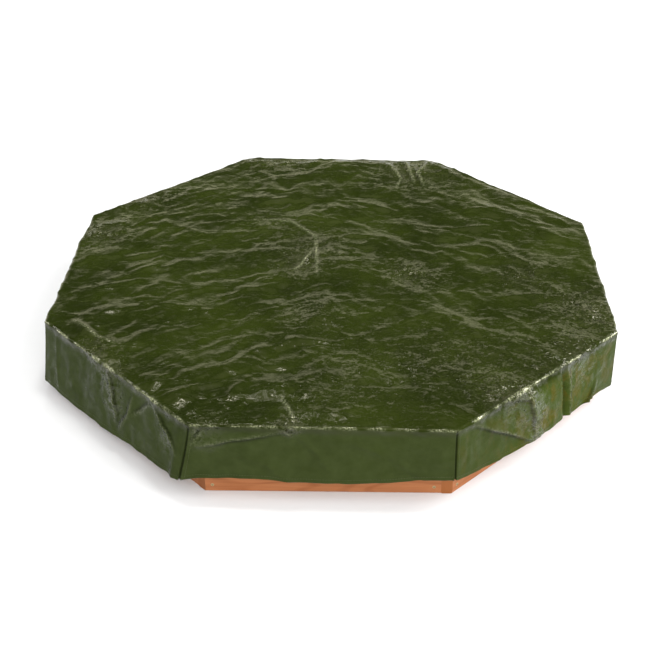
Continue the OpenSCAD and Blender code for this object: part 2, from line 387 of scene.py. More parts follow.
def tarpaulin(name, deep, pale, warm, gloss=0.09):
    """Coated woven tape sheet. The "pattern" map is its flat cut in metres, so the tapes follow the cloth."""
    n = Look(name)
    place = n.place()
    hang, painted_through_light, wear_and_highlight, dark, crush = (n.attribute(mark) for mark in ("hang", "painted_through_light", "wear_and_highlight", "dark", "crush"))
    cloud, mottle = n.noise(place, 5.5, 4, 0.55), n.noise(place, 38, 4, 0.6)
    colour = n.mix(n.spread(cloud, 0.38, 0.66), deep, pale)
    colour = n.mix(n.spread(mottle, 0.5, 0.8, 0.0, 0.35), colour, pale)
    # Painted sheen: the hanging skirts are painted paler and greyer than the top.
    colour = n.mix(n.times(hang, n.spread(mottle, 0.3, 0.7, 0.45, 0.75)), colour, srgb(60, 69, 38))
    # Painted light: on the skirt's right-hand sides the colour is lighter, with a yellow-brown cast in
    # patches, as light shining through the thin coating.
    cast = n.noise(n.mapping(place, scale=(1, 1, 0.6)), 26, 4, 0.65, 0.8)
    shine = n.mix(n.spread(cast, 0.46, 0.62), srgb(56, 69, 19), warm)
    colour = n.mix(painted_through_light, colour, shine)
    # Folded edges and fold crests are whitened by wear and painted lighter as a painted highlight.
    rubbed_and_highlight = n.times(wear_and_highlight, n.spread(n.noise(place, 260, 3, 0.7), 0.42, 0.62))
    colour = n.mix(n.times(rubbed_and_highlight, 0.5, True), colour, srgb(196, 200, 160))
    # Painted shade: the feet of the folds and the corner seams are darkened towards near-black.
    colour = n.mix(n.times(dark, 0.7, True), colour, srgb(9, 13, 3))
    # The rubbed edges and the crushed spots are the glossiest.
    glint = n.plus(rubbed_and_highlight, n.spread(crush, 0.9, 2.6, 0.0, 0.35), True)
    level = n.plus(n.spread(hang, 0.0, 1.0, 0.26, 0.03), n.times(glint, 0.8))
    n.set(Base_Color=colour, IOR=1.5, Specular_IOR_Level=level, Specular_Tint=(1.0, 0.93, 0.76, 1.0))
    rough = n.spread(n.noise(place, 24, 5, 0.7), 0.35, 0.75, gloss + 0.04, gloss + 0.16)
    n.set(Roughness=n.math("SUBTRACT", rough, n.times(glint, 0.12)))
    # Small flat facets where the sheet is crushed.
    drift = n.add("ShaderNodeTexNoise", {"Vector": place, "Scale": 28.0, "Detail": 3.0}).outputs["Color"]
    bent = n.vector("ADD", place, n.vector("SCALE", drift, scale=0.03))
    normal = n.add("ShaderNodeNewGeometry").outputs["Normal"]
    one_way, other_way = (n.mapping(bent, scale=(0.6, 1, 1), rotation=(0, 0, a)) for a in (0.5, -0.6))
    sizes = (one_way, 66, 0.08, 0.45), (other_way, 130, 0.08, 0.60), (place, 270, 0.05, 0.45)
    for where, scale, low, high in sizes:
        normal = n.shards(where, scale, n.spread(crush, 0.5, 2.5, low, high), normal)
    # A net of fine crease lines, then a crackle.
    net = n.add("ShaderNodeTexVoronoi", {"Vector": one_way, "Scale": 17.0}, feature="DISTANCE_TO_EDGE")
    lines = n.spread(net.outputs["Distance"], 0.0, 0.07, 1.0, 0.0)
    normal = n.bump(n.times(lines, n.spread(crush, 0.05, 0.5)), 0.8 * MM, 0.4, normal)
    crackle = n.noise(n.mapping(place, scale=(0.55, 1, 1)), 115, 4, 0.55, 0.6)
    normal = n.bump(n.times(crackle, n.spread(crush, 0.1, 1.5, 0.12, 1.0)), 2.0 * MM, 0.6, normal)
    # Woven tapes, over and under, and the coating's own grain.
    wave = {"Vector": n.add("ShaderNodeUVMap", uv_map="pattern").outputs[0], "Scale": WAVE_SCALE / TAPE_W}
    warp, weft = (n.add("ShaderNodeTexWave", wave, bands_direction=axis).outputs["Fac"] for axis in "XY")
    normal = n.bump(n.times(warp, weft), 0.06 * MM, 0.25, normal)
    n.set(Normal=n.bump(n.noise(place, 520, 3, 0.6), 0.06 * MM, 0.25, normal))
    return n.material


def thread(name, colour):
    n = Look(name)
    twist = n.noise(n.place(), 1600, 2)
    n.set(Base_Color=n.mix(twist, colour, srgb(60, 66, 38)), Roughness=0.75)
    n.set(Normal=n.bump(twist, 0.1 * MM, 0.6))
    return n.material


# ---- the cover's flat pattern

CELLS = 128  # cells from the middle of the top to a side
CORNER_CELLS = round(CELLS * TAN_HALF)
FOLD_R = 5 * MM  # radius of the top's edge
FOLD_ROWS = 5
SKIRT_ROWS = 29
COVER_ROOM = 3 * MM  # how much further out than the plain cover the fitted one hangs
COVER_SLIP = radians(-1.1)  # the cover lies slightly turned on the box
EDGE_REST = 1.3 * MM  # height of the top's edge above the seat boards
TOP_REST = 2.7 * MM  # how much higher the crinkled top lies than its edge, on average
SETTLE_W = 45 * MM  # how far in from its edge the top rises to that height
SEAM_DEPTH = 7 * MM
SEAM_SHADE, RIM_W = 2.2 * MM, 2.2 * MM  # half widths of a corner seam's painted shade and of the rim's whitening and painted highlight
HIGHEST = 16 * MM  # no fold of the top stands higher than this above the seats
LEAST_GAP = 1.0 * MM  # and over a seat board none lies lower than this
SAG = 7.0  # how far the middle sags, in mm
RANDOM_FOLDS, FOLD_SEED = 260, 480
CORNER_STEPS = (1.4 * MM, 3.2 * MM)  # extra columns beside each corner seam

edge_apothem = cover_apothem + COVER_ROOM
edge_half = edge_apothem * TAN_HALF
flat_apothem = edge_apothem - FOLD_R
cell = flat_apothem / CELLS

# How far the hem hangs below the edge and how far it stands out, at five even places along each side, in mm.
SKIRT_DROP = [
    (152, 140, 147, 140, 131), (131, 148, 147, 145, 158), (158, 168, 174, 178, 180),
    (180, 183, 185, 187, 188), (188, 189, 190, 189, 188), (188, 187, 185, 182, 180),
    (180, 178, 175, 172, 168), (168, 171, 168, 158, 152),
]
SKIRT_FLARE = [
    (3, 4, 4, 5, 7), (7, 14, 18, 10, 2), (3, 9, 11, 9, 8), (8, 12, 14, 12, 8),
    (8, 10, 10, 10, 8), (8, 12, 14, 12, 8), (8, 12, 13, 16, 19), (21, 24, 25, 23, 23),
]
KNOTS = (-1, -0.5, 0, 0.5, 1)


def through(values, t):
    """Smooth curve through five values at even places from t = -1 to 1."""
    return np.polyval(np.polyfit(KNOTS, values, 4), t)


class Pattern:
    """The cover's mesh before it is creased: a grid cut to an octagon, a rounded edge and eight skirts."""

    def __init__(self):
        self.points, self.faces, self.grid, self.extra = [], [], {}, {}
        self.make_top()
        self.make_skirts()
        self.flat, self.side, self.t, self.row = (np.array(v) for v in zip(*self.points))

    def vertex(self, flat, side=-1, t=0.0, row=0.0):
        self.points.append((flat, side, t, row))
        return len(self.points) - 1

    def inside(self, i, j):
        return max(abs(i), abs(j)) <= CELLS and abs(i) + abs(j) <= CELLS + CORNER_CELLS

    def border(self, side):
        """Grid points along a side's edge, anticlockwise."""
        c, e = CORNER_CELLS, CELLS
        straight = [(i, -e) for i in range(-c, c + 1)]
        slanted = [(c + m, -e + m) for m in range(e - c + 1)]
        points = slanted if side % 2 else straight
        for _ in range(side // 2):
            points = [(-j, i) for i, j in points]
        return points

    def make_top(self):
        for i in range(-CELLS, CELLS + 1):
            for j in range(-CELLS, CELLS + 1):
                if self.inside(i, j):
                    self.grid[i, j] = self.vertex((i * cell, j * cell))
        self.columns = [self.border_column(side) for side in range(SIDES)]
        for i in range(-CELLS, CELLS):
            for j in range(-CELLS, CELLS):
                ring = [(i, j), (i + 1, j), (i + 1, j + 1), (i, j + 1)]
                ring = [self.grid[p] for p in ring if p in self.grid]
                if len(ring) > 2:
                    self.faces.append(self.with_extras(ring))

    def border_column(self, side):
        """Vertices along a side's edge with the extra ones, each with its share t of the way, -1 to 1."""
        ids = [self.grid[p] for p in self.border(side)]
        at = [np.array(self.points[v][0]) for v in ids]
        tangent = side_axes(side)[1]
        length = (at[-1] - at[0]) @ tangent
        out = []
        for n, (a, b) in enumerate(zip(ids[:-1], ids[1:])):
            start, step = (at[n] - at[0]) @ tangent, (at[n + 1] - at[n]) @ tangent
            cuts = [step / 2] if side % 2 else []
            if n == 0:
                cuts += CORNER_STEPS
            if n == len(ids) - 2:
                cuts += [step - c for c in CORNER_STEPS]
            out.append((a, 2 * start / length - 1))
            between = []
            for c in sorted(cuts):
                v = self.vertex(tuple(at[n] + tangent * c))
                between.append(v)
                out.append((v, 2 * (start + c) / length - 1))
            self.extra[a, b] = between
        out.append((ids[-1], 1.0))
        return out

    def with_extras(self, ring):
        out = []
        for a, b in zip(ring, ring[1:] + ring[:1]):
            out += [a] + self.extra.get((a, b), [])
        return out

    def make_skirts(self):
        self.curtain = []  # every column of vertices from the edge to the hem, anticlockwise
        corners = [self.hanging(side, *self.columns[side][-1]) for side in range(SIDES)]
        for side in range(SIDES):
            between = [self.hanging(side, *v) for v in self.columns[side][1:-1]]
            columns = [corners[side - 1], *between, corners[side]]
            for a, b in zip(columns[:-1], columns[1:]):
                self.faces += strip(a, b)
            self.curtain += columns[:-1]

    def hanging(self, side, top, t):
        return [top] + [self.vertex((0, 0), side, t, r) for r in range(1, FOLD_ROWS + SKIRT_ROWS + 1)]


# ---- creases of the cover

# Lengths in the tables below are in mm.
# Folds of the top: points on the flat cut, height, width to the left and to the right.
TOP_FOLDS = [
    ([(-230, 290), (-130, 265), (-60, 190), (-50, 130)], 7.2, 9, 16),
    ([(-55, 200), (-50, 120), (-40, -50)], 5.8, 8, 12),
    ([(-50, 130), (-85, 30), (-110, -20)], 6.1, 7, 9),
    ([(-50, 160), (40, 200), (150, 190)], 3.8, 16, 9),
    ([(-30, 20), (-30, -80), (0, -170), (-60, -300), (-170, -390)], 3.5, 12, 18),
    ([(-500, 250), (-350, 170), (-220, 180)], 2.9, 14, 20),
    ([(-620, 20), (-440, 80), (-280, 50)], 3.2, 18, 12),
    ([(-660, -160), (-500, -80), (-420, -100)], 3.5, 12, 20),
    ([(-600, -280), (-460, -200), (-330, -220), (-200, -330)], 4.9, 26, 16),
    ([(-350, -450), (-240, -360), (-120, -330)], 4.2, 14, 22),
    ([(-200, -620), (-20, -500), (160, -520)], 4.8, 20, 34),
    ([(100, -300), (250, -220), (340, -240)], 3.8, 12, 18),
    ([(260, -170), (360, -300), (470, -330)], 4.8, 18, 12),
    ([(180, -420), (300, -500), (440, -490)], 3.5, 10, 16),
    ([(400, -140), (540, -120), (620, -150), (660, -270)], 4.5, 12, 9),
    ([(610, -140), (520, -20), (440, 20)], 3.8, 8, 10),
    ([(620, -150), (690, -80)], 3.5, 6, 8),
    ([(200, 50), (230, -20), (200, -90)], 4.2, 6, 8),
    ([(460, 30), (500, -50), (560, -70)], 4.2, 7, 7),
    ([(280, 660), (440, 520), (640, 340)], 4.2, 18, 12),
    ([(100, 280), (340, 240), (520, 260)], 3.2, 22, 14),
    ([(-460, 460), (-200, 400), (50, 430)], 3.2, 26, 18),
    ([(140, 690), (190, 560), (170, 480)], 7.2, 7, 12),
    ([(200, 700), (230, 530)], 6.4, 8, 6),
    ([(290, 700), (240, 600), (260, 500)], 7.2, 12, 7),
    ([(170, 620), (300, 600), (360, 640)], 4.8, 8, 8),
    ([(-56, -700), (-75, -640), (-100, -590)], 6.1, 9, 5),
    ([(-225, -660), (-205, -570), (-180, -540)], 4.8, 9, 6),
    ([(-300, -600), (-240, -610), (-160, -580)], 3.5, 6, 8),
    ([(-640, -280), (-560, -360), (-500, -400)], 12.8, 8, 22),
    ([(-690, -250), (-600, -270), (-550, -300)], 4.8, 10, 10),
]
# Folds of the skirts: side, points as (along the side, down from the edge), then the same.
SKIRT_FOLDS = [
    (0, [(-262, 8), (-272, 24), (-286, 50)], -3.5, 4, 4),
    (0, [(-268, -4), (-279, 24)], 7.0, 3, 6),
    (0, [(-285, 55), (-262, 52), (-200, 34), (-130, 20), (-75, 4)], 8.4, 10, 2.4),
    (0, [(-88, -6), (-78, 10), (-60, 16)], 7.0, 4, 4),
    (0, [(-62, -10), (-55, 14)], 6.4, 4, 3),
    (0, [(-60, 12), (-10, 70), (30, 130)], 6.0, 22, 9),
    (0, [(20, 20), (150, 70), (250, 150)], 5.5, 26, 12),
    (0, [(-220, 60), (-120, 100), (-50, 170)], 4.5, 20, 10),
    (0, [(100, 10), (140, 90), (120, 170)], 4.0, 12, 24),
    (1, [(-250, 0), (-110, 92), (-30, 150)], 10.0, 22, 3),
    (1, [(-140, -4), (-60, 15), (-50, 80), (-30, 150)], 12.0, 14, 9),
    (1, [(70, 0), (82, 90), (90, 170)], -18.0, 10, 4),
    (1, [(90, 0), (100, 90), (105, 170)], 12.0, 4, 22),
    (1, [(120, 170), (190, 140), (220, 100)], 10.0, 6, 6),
    (2, [(-260, 0), (-160, 70), (-100, 160)], 12.0, 10, 18),
    (2, [(50, 0), (100, 160)], 10.0, 20, 8),
    (3, [(-100, 0), (-160, 160)], 10.0, 8, 26),
    (3, [(160, 0), (60, 100), (80, 160)], 8.0, 10, 16),
    (4, [(-150, 0), (-50, 120)], 9.0, 16, 8),
    (4, [(200, 0), (120, 160)], 8.0, 6, 20),
    (5, [(-50, 0), (-120, 160)], 10.0, 20, 9),
    (5, [(120, 0), (200, 160)], 8.0, 8, 22),
    (6, [(-200, 0), (-100, 160)], 10.0, 24, 9),
    (6, [(100, 0), (140, 160)], 9.0, 9, 20),
    (7, [(-240, 0), (-220, 160)], 6.0, 12, 20),
    (7, [(-20, -10), (10, 40), (30, 100), (20, 130)], 9.0, 9, 14),
    (7, [(90, 20), (75, 80), (30, 150)], 6.8, 10, 6),
    (7, [(155, 4), (110, 50), (80, 75)], -7.2, 8, 12),
    (7, [(160, 5), (200, 30), (250, 60), (268, 90)], 7.6, 5, 10),
    (7, [(170, 60), (240, 20)], 5.2, 5, 5),
]
# Crinkles over the whole sheet: seed, angle in degrees, length, width and height.
CRINKLES = [
    (51, 14, 160, 85, 4.4), (52, -24, 88, 48, 2.6), (53, 26, 56, 34, 1.9),
    (54, -20, 36, 20, 1.2), (55, 62, 44, 30, 1.2), (56, -12, 26, 15, 0.6),
]
# Crushed spots, where fine crinkles are strongest: side or -1 for the top, place, radius, strength.
CRUSHED = [
    (-1, (-60, 120), 100, 1.3), (-1, (-100, 0), 60, 1.2), (-1, (210, -10), 70, 1.5),
    (-1, (500, -30), 70, 1.2), (-1, (220, 620), 110, 1.6), (-1, (-660, 180), 80, 1.4),
    (-1, (620, -180), 100, 0.9), (-1, (-180, 270), 70, 0.9), (-1, (-50, -220), 80, 0.9),
    (7, (0, 20), 50, 1.9), (7, (20, 80), 40, 1.9), (7, (220, 70), 40, 1.5),
    (7, (-100, -20), 50, 1.5), (0, (-250, 30), 50, 2.0), (0, (-70, 0), 30, 2.4),
    (1, (-100, 0), 70, 2.2), (1, (-50, 60), 50, 2.2), (1, (-20, 140), 50, 1.8),
    (1, (140, 10), 100, 1.5),
    (-1, (120, -470), 200, 0.5), (-1, (360, -420), 160, 0.6), (-1, (0, -600), 120, 0.5),
    (2, (-200, 0), 100, 1.6), (4, (200, 0), 100, 1.6), (5, (100, 0), 80, 1.4),
]
# Broad swellings of single skirts: middle along and down, both half widths, height.
BULGES = {
    1: [(-20, 55, 100, 60, 13), (200, 100, 50, 70, 5)],
    2: [(-50, 80, 120, 70, 8)],
    4: [(50, 80, 140, 60, 6)],
    5: [(-120, 70, 100, 60, 7)],
    7: [(268, 120, 20, 70, 6), (-50, 70, 120, 60, 4)],
}


def on_flat(side, s, d):
    """Place on the flat cut of a point `s` along a side and `d` below its edge."""
    n, t = side_axes(side)
    return n * (edge_apothem + d) + t * s


def corner_slide(side, end):
    """Slide along a side, in mm, that brings it and the next side at that end to the same corner."""
    here = through(SKIRT_FLARE[side], end)
    there = through(SKIRT_FLARE[(side + end) % SIDES], -end)
    return end * (there - here * cos(TURN)) / sin(TURN)


class Cover:
    """Shapes the pattern: rest position, then crinkles, folds and the hang of the skirts."""

    def __init__(self):
        self.pattern = Pattern()
        self.side, self.count = self.pattern.side, len(self.pattern.side)
        self.skirt = self.side >= 0
        self.lay_out()
        self.crease()

    def lay_out(self):
        p = self.pattern
        rest = np.zeros((self.count, 3))
        rest[:, :2] = p.flat
        normal = np.tile([0.0, 0.0, 1.0], (self.count, 1))
        flat = p.flat.copy()
        self.down, self.share, self.perimeter = np.zeros((3, self.count))
        for side in range(SIDES):
            n, t = side_axes(side)
            own = np.flatnonzero(p.side == side)
            row, along = p.row[own], p.t[own]
            drop = through(SKIRT_DROP[side], along) * MM - FOLD_R
            angle = np.minimum(row / FOLD_ROWS, 1) * pi / 2
            share = np.clip((row - FOLD_ROWS) / SKIRT_ROWS, 0, 1)
            out = flat_apothem + FOLD_R * np.sin(angle)
            z = -FOLD_R * (1 - np.cos(angle)) - share * drop
            width = along * out * TAN_HALF
            rest[own, :2] = out[:, None] * n + width[:, None] * t
            rest[own, 2] = z
            normal[own, :2] = np.sin(angle)[:, None] * n
            normal[own, 2] = np.cos(angle)
            down = angle * FOLD_R + share * drop
            flat[own] = (flat_apothem + down)[:, None] * n + width[:, None] * t
            self.down[own], self.share[own] = down, share
            self.perimeter[own] = side + along / 2
        self.rest, self.normal, self.flat = rest, normal, flat

    def crease(self):
        q = self.flat
        x, y = q[:, 0], q[:, 1]
        top = ~self.skirt
        inside = np.min([-q @ side_axes(k)[0] for k in range(SIDES)], axis=0)
        to_edge, from_seat = inside + edge_apothem, inside + seat_in
        to_corner = self.corner_distance()
        big = [Noise(seed) for seed in range(10)]
        height = self.crinkles(x, y, big) + self.random_folds()
        height = height * np.where(top, 1.0, 0.4) + self.fine_crinkles
        height = self.add_folds(height, to_edge)
        # Painted shade along each corner seam.
        self.dark = np.maximum(self.dark, bell(to_corner, SEAM_SHADE) * self.skirt)
        # The edge itself is wavy, and in places whitened by wear and painted lighter as a painted highlight,
        # most of all near both front corners.
        height += 2.2 * ridged(big[8], x * 14, y * 14) * bell(to_edge, 12 * MM)
        rim = bell(to_edge - 1 * MM, RIM_W) * smooth(big[9](x * 30, y * 30), -0.35, 0.3)
        front_corner = np.hypot(np.abs(x) - 0.5, y + 0.5) < 0.3
        self.wear_and_highlight = np.maximum(self.wear_and_highlight, rim * np.where(front_corner, 1.6, 0.9))
        held = smooth(to_corner, 2 * MM, 30 * MM)
        move = height * MM * (0.25 + 0.75 * held)
        # Near the edge the top settles on to the seat boards, and it sags over the open middle.
        settle = smooth(to_edge, 0, SETTLE_W)
        sag = SAG * (1 - smooth(np.hypot(x, y), 0.25, seat_in))
        z = self.rest[:, 2] + EDGE_REST + (TOP_REST * settle - sag * MM) * top
        lift = np.where(top, move * (0.45 + 0.55 * settle), 0.0)
        over_seat = (from_seat < 25 * MM) & (to_edge > 0)
        lowest = np.where(over_seat, LEAST_GAP, -30 * MM)
        z_top = lowest + np.logaddexp(0, (z + lift - lowest) / (1.2 * MM)) * 1.2 * MM
        z_top = HIGHEST - np.logaddexp(0, (HIGHEST - z_top) / (1.0 * MM)) * 1.0 * MM
        self.place = self.rest.copy()
        self.place[:, 2] = np.where(top, z_top, z)
        self.hang(move, held)
        c, s = cos(COVER_SLIP), sin(COVER_SLIP)
        px, py = self.place[:, 0].copy(), self.place[:, 1].copy()
        self.place[:, 0], self.place[:, 1] = c * px - s * py, s * px + c * py
        self.place[:, 2] += seat_top

    def crinkles(self, x, y, big):
        """Long swells, and crinkles that lie mostly across the view, from the way the sheet was folded."""
        wx, wy = x + 0.03 * big[0](x * 6, y * 6), y + 0.03 * big[1](x * 6, y * 6)
        swell = 3.0 * big[2](wx * 3.2, wy * 5.0) + 2.0 * big[3](wx * 6.5, wy * 11.0)
        wavy_x, wavy_y = wx + 0.012 * big[4](x * 22, y * 22), wy + 0.012 * big[5](x * 22, y * 22)
        # Towards the sides the crinkles turn off to the front.
        wavy_y = wavy_y + 0.6 * (np.hypot(x, 0.12) - 0.12)
        crinkle = np.zeros(self.count)
        for seed, degrees, along, across, size in CRINKLES:
            u, v = turned(wavy_x, wavy_y, degrees)
            crinkle += size * facets(seed, u / (along * MM), v / (across * MM))
        crinkle += 0.8 * ridged(big[6], wx * 13, wavy_y * 26)
        crinkle *= 0.6 + 0.6 * smooth(big[7](x * 5, y * 5), -0.5, 0.5) + 0.45 * smooth(-y, 0.2, 0.6)
        fine = facets(61, wavy_x / 0.019, wavy_y / 0.015)
        fine += 0.6 * facets(62, *turned(x / 0.012, y / 0.012, 40))
        self.fine_crinkles = np.maximum(self.crush_weight() - 0.35, 0) * fine
        return swell + crinkle

    def add_folds(self, height, to_edge):
        """The larger folds, each in its own place, with their crests whitened and painted as a highlight, and
        painted shade at their feet.
        """
        self.wear_and_highlight, self.dark = np.zeros((2, self.count))
        for points, size, left, right in TOP_FOLDS:
            rise, crest, foot = fold(self.flat, np.array(points) / PER_M, size, left * MM, right * MM)
            height += rise
            self.mark(crest * 0.9 * (size > 5), foot * 0.6 * (size > 5))
        for side, points, size, left, right in SKIRT_FOLDS:
            own = [on_flat(side, s / PER_M, d / PER_M) for s, d in points]
            mask = (self.side == side) | ((self.side < 0) & (to_edge < 60 * MM))
            rise, crest, foot = fold(self.flat, own, size, left * MM, right * MM)
            if size < 0:
                crest, foot = foot, crest
            height += rise * mask
            sharp = (abs(size) > 6.5 or size < 0) * mask * (1.0 if side in (0, 1, 7) else 0.25)
            self.mark(crest * 0.3 * sharp, foot * sharp)
        return height

    def mark(self, wear_and_highlight, dark):
        self.wear_and_highlight, self.dark = np.maximum(self.wear_and_highlight, wear_and_highlight), np.maximum(self.dark, dark)

    def hang(self, move, held):
        """Moves the skirts out along their normals: the flare, the swells and the creases."""
        p = self.pattern
        wave, ripple, low = Noise(31, period=64), Noise(32, period=128), Noise(33, period=16)
        for side in range(SIDES):
            n, t = side_axes(side)
            own = np.flatnonzero(p.side == side)
            along, share, down, u = p.t[own], self.share[own], self.down[own], self.perimeter[own] % SIDES
            out = through(SKIRT_FLARE[side], along) * MM * share**1.2
            out += 3.2 * MM * wave(u * 8, down * 9) * smooth(share, 0.0, 0.35) * held[own]
            out += 1.2 * MM * ripple(u * 16, down * 26) * held[own] * smooth(share, 0, 0.1)
            out += self.bulge(side, along * edge_half, down)
            out += move[own]
            out += 1.6 * MM * low(u * 4 + 0.3, down * 0 + 0.5) * held[own]
            # At a corner both sides meet on one line, so the end columns also slide along the side.
            slide = corner_slide(side, 1) * smooth(along, 0.72, 1.0)
            slide = (slide + corner_slide(side, -1) * smooth(-along, 0.72, 1.0)) * MM * share**1.2
            self.place[own] += self.normal[own] * out[:, None]
            self.place[own, :2] += t * slide[:, None]
            # The seam pulls its corner in, as a narrow groove.
            beside = (1 - np.abs(along)) * edge_half
            pull = SEAM_DEPTH * smooth(share, 0.0, 0.05) * (1 - smooth(beside, 0, CORNER_STEPS[1]))
            away = n * cos(HALF) + t * np.sign(along)[:, None] * sin(HALF)
            self.place[own, :2] -= away * pull[:, None]
            self.place[own, 2] += 1.8 * MM * wave(u * 8 + 5, down * 0 + 2.5) * share

    def bulge(self, side, s, d):
        out = np.zeros(len(s))
        for *shape, size in BULGES.get(side, []):
            s0, d0, ws, wd = np.array(shape) / PER_M
            out += size * MM * np.exp(-(((s - s0) / ws) ** 2) - ((d - d0) / wd) ** 2)
        return out * smooth(d, 0, 0.03)

    def corner_distance(self):
        """Distance on the flat cut from each point to the nearest corner seam."""
        best = np.full(self.count, np.inf)
        for side in range(SIDES):
            n, t = side_axes(side)
            for end in (-1, 1):
                corner = n * edge_apothem + end * t * edge_half
                out, across = (self.flat - corner) @ n, (self.flat - corner) @ t
                away = np.where(out > 0, np.abs(across), np.hypot(out, across))
                best = np.where(self.on_side(side), np.minimum(best, away), best)
        return best

    def on_side(self, side):
        """The points of the top and of one side's skirt."""
        return (self.side == side) | (self.side < 0)

    def crush_weight(self):
        weight = np.where(self.skirt, 0.08, 0.5)
        for side, place, radius, strength in CRUSHED:
            place = np.array(place) / PER_M
            at = place if side < 0 else on_flat(side, *place)
            reach = np.hypot(*(self.flat - at).T) / (radius / PER_M)
            weight += strength * bell(reach, 1) * self.on_side(side)
        return weight

    def random_folds(self):
        """Short seeded folds over the whole sheet, most of them lying across the front view."""
        rng = np.random.default_rng(FOLD_SEED)
        height = np.zeros(self.count)
        for _ in range(RANDOM_FOLDS):
            at = rng.uniform(-0.86, 0.86, 2)
            across = rng.random() < 0.65
            angle = rng.normal(0.08, 0.35) if across else rng.uniform(0, pi)
            length = rng.uniform(0.03, 0.15)
            bend = rng.normal(0, 0.25)
            step = np.array([cos(angle), sin(angle)]) * length
            bent = np.array([cos(angle + bend), sin(angle + bend)]) * length
            size = rng.uniform(0.8, 2.6) * rng.choice([-0.6, 1, 1])
            widths = rng.uniform(5, 20, 2) * MM
            height += fold(self.flat, [at - step, at, at + bent], size, *widths)[0]
        return height


cover = Cover()


def inward(point, by):
    return point - np.append(point[:2], 0) / np.hypot(*point[:2]) * by


def hem_band(cover):
    """The turned-up hem: it rounds the cloth's end and runs about 17 mm up the inside."""
    place, verts, faces = cover.place, [], []
    for column in cover.pattern.curtain:
        end, above = place[column[-1]], place[column[-2]]
        down = (end - above) / np.linalg.norm(end - above)
        verts += [end, inward(end + down * 0.7 * MM, 0.5 * MM), inward(end + down * 0.7 * MM, 1.3 * MM)]
        verts += [inward(place[column[-k]], 1.9 * MM) for k in (1, 2, 3, 4)]
    columns = np.arange(len(verts)).reshape(-1, 7).tolist()
    for a, b in zip(columns, columns[1:] + columns[:1]):
        faces += strip(a, b)
    return verts, faces


def resample(path, pitch):
    """Points and directions at an even pitch along a polyline."""
    steps = np.linalg.norm(np.diff(path, axis=0), axis=1)
    along = np.concatenate([[0], np.cumsum(steps)])
    at = np.arange(0.5, along[-1] / pitch) * pitch
    here, ahead = (np.array([np.interp(x, along, line) for line in path.T]).T for x in (at, at + 0.3 * pitch))
    return here, ahead - here


def stitches(paths, pitch, length, width):
    """Short rounded stitches along each path; a path is its points and their outward directions."""
    verts, faces = [], []
    for path, outward in paths:
        points, directions = resample(path, pitch)
        for point, direction in zip(points, directions):
            d = direction / max(np.linalg.norm(direction), 1e-9)
            up = outward[np.argmin(((path - point) ** 2).sum(1))]
            side = np.cross(d, up)
            base = len(verts)
            for along, size in ((-0.5, 0.35), (-0.3, 1.0), (0.3, 1.0), (0.5, 0.35)):
                sink = up * width * (0.25 if size > 0.5 else -0.35)
                for k in range(6):
                    a = k * pi / 3
                    ring = (side * cos(a) + up * sin(a)) * width / 2 * size
                    verts.append(point + d * along * length + ring + sink)
            for row in (base, base + 6, base + 12):
                for k in range(6):
                    m = (k + 1) % 6
                    faces.append((row + k, row + m, row + 6 + m, row + 6 + k))
            faces += [tuple(base + 5 - k for k in range(6)), tuple(base + 18 + k for k in range(6))]
    return verts, faces


def hem_path(cover, rows_up):
    columns = cover.pattern.curtain + cover.pattern.curtain[:1]
    path = np.array([cover.place[c[-1 - rows_up]] for c in columns])
    outward = path * (1, 1, 0) / np.hypot(path[:, 0], path[:, 1])[:, None]
    return path + outward * 0.2 * MM, outward


def seam_paths(cover):
    """Lines of stitching a few millimetres to the right of every corner seam."""
    columns, pattern = cover.pattern.curtain, cover.pattern
    for n, at_seam in enumerate(columns):
        if pattern.t[at_seam[-1]] == 1.0:
            column = columns[(n + 4) % len(columns)]
            path = cover.place[column[FOLD_ROWS + 1:-1]]
            outward = np.tile(np.append(side_axes(pattern.side[column[-1]])[0], 0), (len(path), 1))
            yield path + outward * 0.2 * MM, outward


tarp = tarpaulin("tarpaulin", srgb(28, 36, 6), srgb(39, 48, 10), srgb(75, 71, 16))
cover_sheet = new_mesh("cover_sheet", cover.place, cover.pattern.faces, tarp)
set_uv(cover_sheet.data, "pattern", cover.flat)



def set_mark(name, values):
    mark = cover_sheet.data.attributes.new(name, "FLOAT", "POINT")
    mark.data.foreach_set("value", values.astype(np.float32))


# Painted light shining through the thin coating, on the right-hand skirts, most of all along the middle of
# the right front.
on_right, t_right = cover.pattern.side == 1, cover.pattern.t
painted_through_light = np.array([0, 0.75, 0.5, 0.3, 0, 0, 0, 0, 0])[cover.pattern.side]
painted_through_light *= np.where(on_right, 0.3 + 0.7 * smooth(t_right, -0.7, 0.0), 1)
painted_through_light *= np.where(on_right, 1 - 0.4 * smooth(t_right, 0.4, 0.9), 1)
set_mark("painted_through_light", painted_through_light * smooth(cover.share, 0.0, 0.2))
# Whitening and painted highlight on rims and crests, and painted shade at the folds' feet and the corner
# seams.
set_mark("wear_and_highlight", cover.wear_and_highlight)
set_mark("dark", cover.dark)
set_mark("hang", smooth(cover.down, 9 * MM, 26 * MM))
set_mark("crush", cover.crush_weight())

# ---- the fleece under the sand

LINER_T, LINER_GAP, POST_RUN, POST_DEPTH = 1.5 * MM, 2 * MM, 48 * MM, 35 * MM  # as in the CAD model
LINER_RINGS = 46
strip_half = wall_in * TAN_HALF - POST_RUN - LINER_GAP


